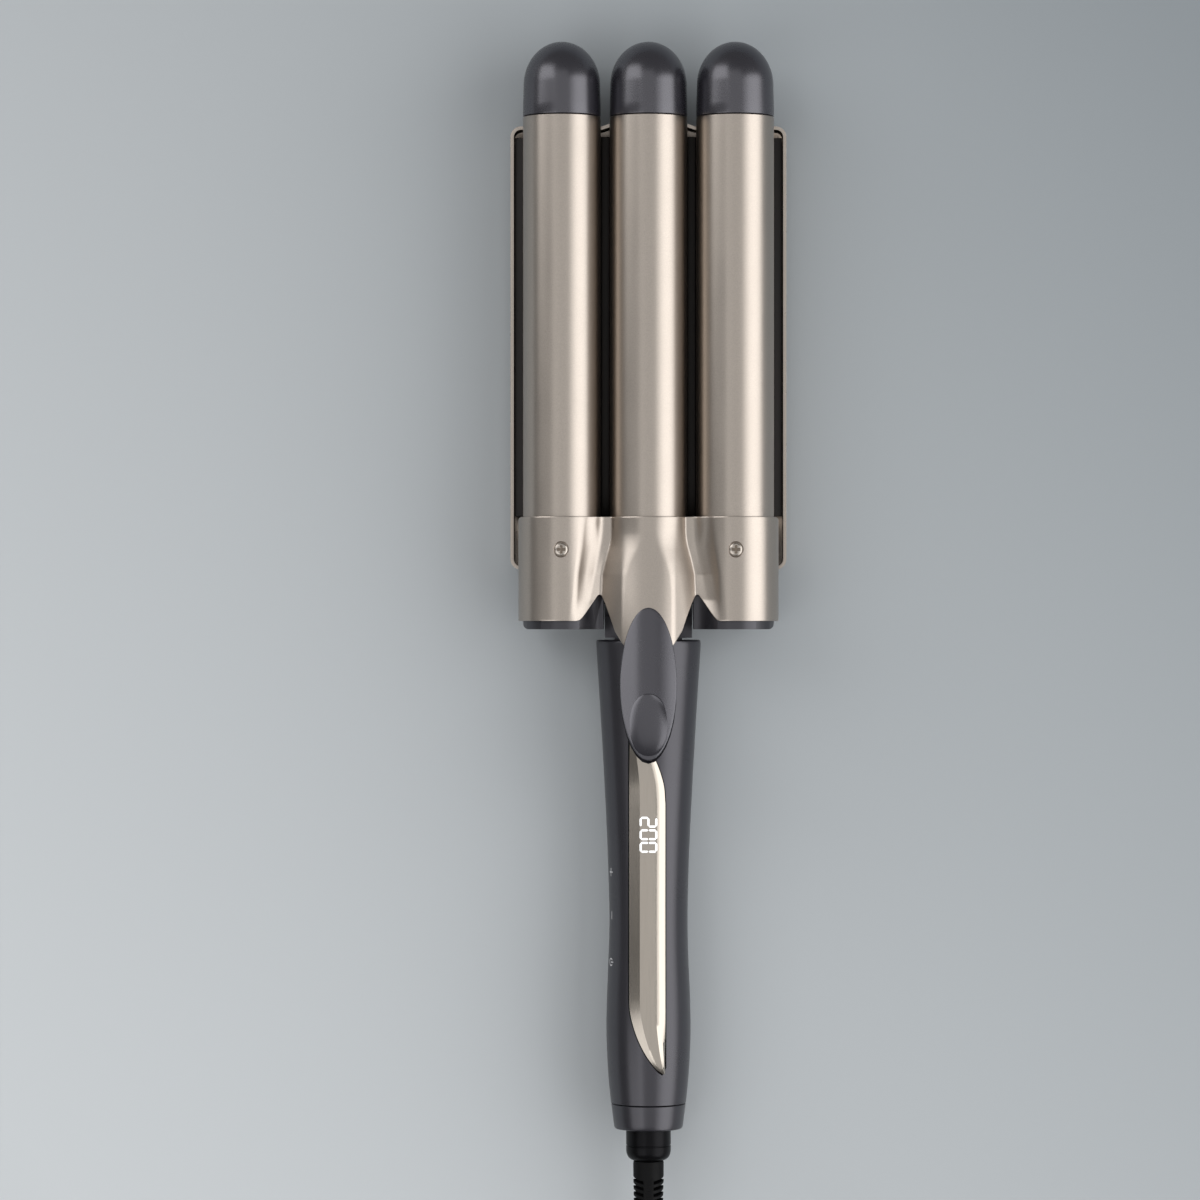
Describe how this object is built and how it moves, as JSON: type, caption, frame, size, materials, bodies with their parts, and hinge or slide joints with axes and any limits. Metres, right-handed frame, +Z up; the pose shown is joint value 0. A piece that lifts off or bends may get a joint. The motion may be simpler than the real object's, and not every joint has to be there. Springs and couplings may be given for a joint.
{
  "type": "hair waver",
  "caption": "Corded hair waver whose parallel barrels close on a ribbed rear plate by a thumb lever, with a slim handle, side buttons and a swivelling cord.",
  "frame": {"origin": "on the table under the part lying on its back, midway along the part from the barrel tips to the swivel collar's end, and on its middle plane", "axes": "+Y along the barrels towards their tips, +Z up from the back cover to the thumb lever, +X to the right as the lever side faces the viewer with the tips upwards"},
  "size_m": [0.1452, 0.5446, 0.0509],
  "materials": {
    "barrel_coating": "brushed champagne coat on aluminium",
    "tip_plastic": "satin heat-resistant plastic",
    "spreader_aluminium": "as extruded",
    "heater_ceramic": "fired ceramic",
    "cover_metal": "satin champagne",
    "base_plastic": "satin",
    "screw_steel": "plated steel",
    "hinge_steel": "ground steel",
    "bush_brass": "turned",
    "lever_plastic": "satin",
    "arm_plastic": "satin",
    "neck_plastic": "satin",
    "tray_metal": "satin champagne pressing",
    "back_plastic": "satin",
    "sheet_mica": "pressed mica board",
    "plate_coating": "dark semi-gloss coat on aluminium",
    "handle_plastic": "satin",
    "inlay_gloss": "glossy champagne, metallised",
    "board_laminate": "printed board",
    "display_window": "smoked window",
    "button_plastic": "satin",
    "switch_plastic": "moulded",
    "collar_plastic": "satin",
    "relief_rubber": "moulded rubber",
    "cord_jacket": "smooth jacket",
    "tie_plastic": "soft band",
    "plug_rubber": "moulded",
    "blade_brass": "bright"
  },
  "bodies": {
    "handle": {"plate_screw_1": "screw_steel", "plate_screw_2": "screw_steel", "plate_screw_3": "screw_steel", "plate_screw_4": "screw_steel", "foot_screw_left": "screw_steel", "foot_screw_right": "screw_steel", "handle_screw_upper": "screw_steel", "handle_screw_lower": "screw_steel", "hinge_pin": "hinge_steel", "torsion_spring": "hinge_steel", "neck": "neck_plastic", "rear_tray": "tray_metal", "back_cover": "back_plastic", "insulating_sheet": "sheet_mica", "clamp_plate": "plate_coating", "handle_front": "handle_plastic", "handle_back": "handle_plastic", "end_cap": "handle_plastic", "inlay_panel": "inlay_gloss", "main_board": "board_laminate", "button_board": "board_laminate", "display_module": "display_window", "switch_plus": "switch_plastic", "switch_minus": "switch_plastic", "switch_power": "switch_plastic", "cord_lead": "cord_jacket", "cord_coil": "cord_jacket", "cord_tail": "cord_jacket", "cord_tie": "tie_plastic", "plug_body": "plug_rubber", "plug_blade_left": "blade_brass", "plug_blade_right": "blade_brass"},
    "jaw": {"barrel_left": "barrel_coating", "barrel_centre": "barrel_coating", "barrel_right": "barrel_coating", "tip_left": "tip_plastic", "tip_centre": "tip_plastic", "tip_right": "tip_plastic", "heat_spreader_left": "spreader_aluminium", "heat_spreader_centre": "spreader_aluminium", "heat_spreader_right": "spreader_aluminium", "heater_left": "heater_ceramic", "heater_centre": "heater_ceramic", "heater_right": "heater_ceramic", "yoke_cover": "cover_metal", "yoke_base": "base_plastic", "cover_screw_left": "screw_steel", "cover_screw_right": "screw_steel", "lever_screw": "screw_steel", "hinge_bush_left": "bush_brass", "hinge_bush_right": "bush_brass", "lever_pad": "lever_plastic", "lever_arm": "arm_plastic"},
    "button_plus": {"button_plus": "button_plastic"},
    "button_minus": {"button_minus": "button_plastic"},
    "button_power": {"button_power": "button_plastic"},
    "swivel": {"swivel_collar": "collar_plastic", "strain_relief": "relief_rubber"}
  },
  "joints": [
    {"name": "jaw_hinge", "type": "hinge", "parent": "handle", "child": "jaw", "pos_m": [0, 0.0012, 0.0213], "axis": [1, 0, 0], "range_deg": [0, 16], "stiffness_Nm_per_rad": 0.6, "springref_deg": -25.78},
    {"name": "plus_press", "type": "slide", "parent": "handle", "child": "button_plus", "axis": [1, 0, 0], "range_m": [0, 0.0004], "stiffness_N_per_m": 2000, "springref_m": -0.0003},
    {"name": "minus_press", "type": "slide", "parent": "handle", "child": "button_minus", "axis": [1, 0, 0], "range_m": [0, 0.0004], "stiffness_N_per_m": 2000, "springref_m": -0.0003},
    {"name": "power_press", "type": "slide", "parent": "handle", "child": "button_power", "axis": [1, 0, 0], "range_m": [0, 0.0004], "stiffness_N_per_m": 2000, "springref_m": -0.0003},
    {"name": "cord_swivel", "type": "hinge", "parent": "handle", "child": "swivel", "pos_m": [0, -0.1726, 0.0165], "axis": [0, 1, 0], "continuous": true}
  ]
}
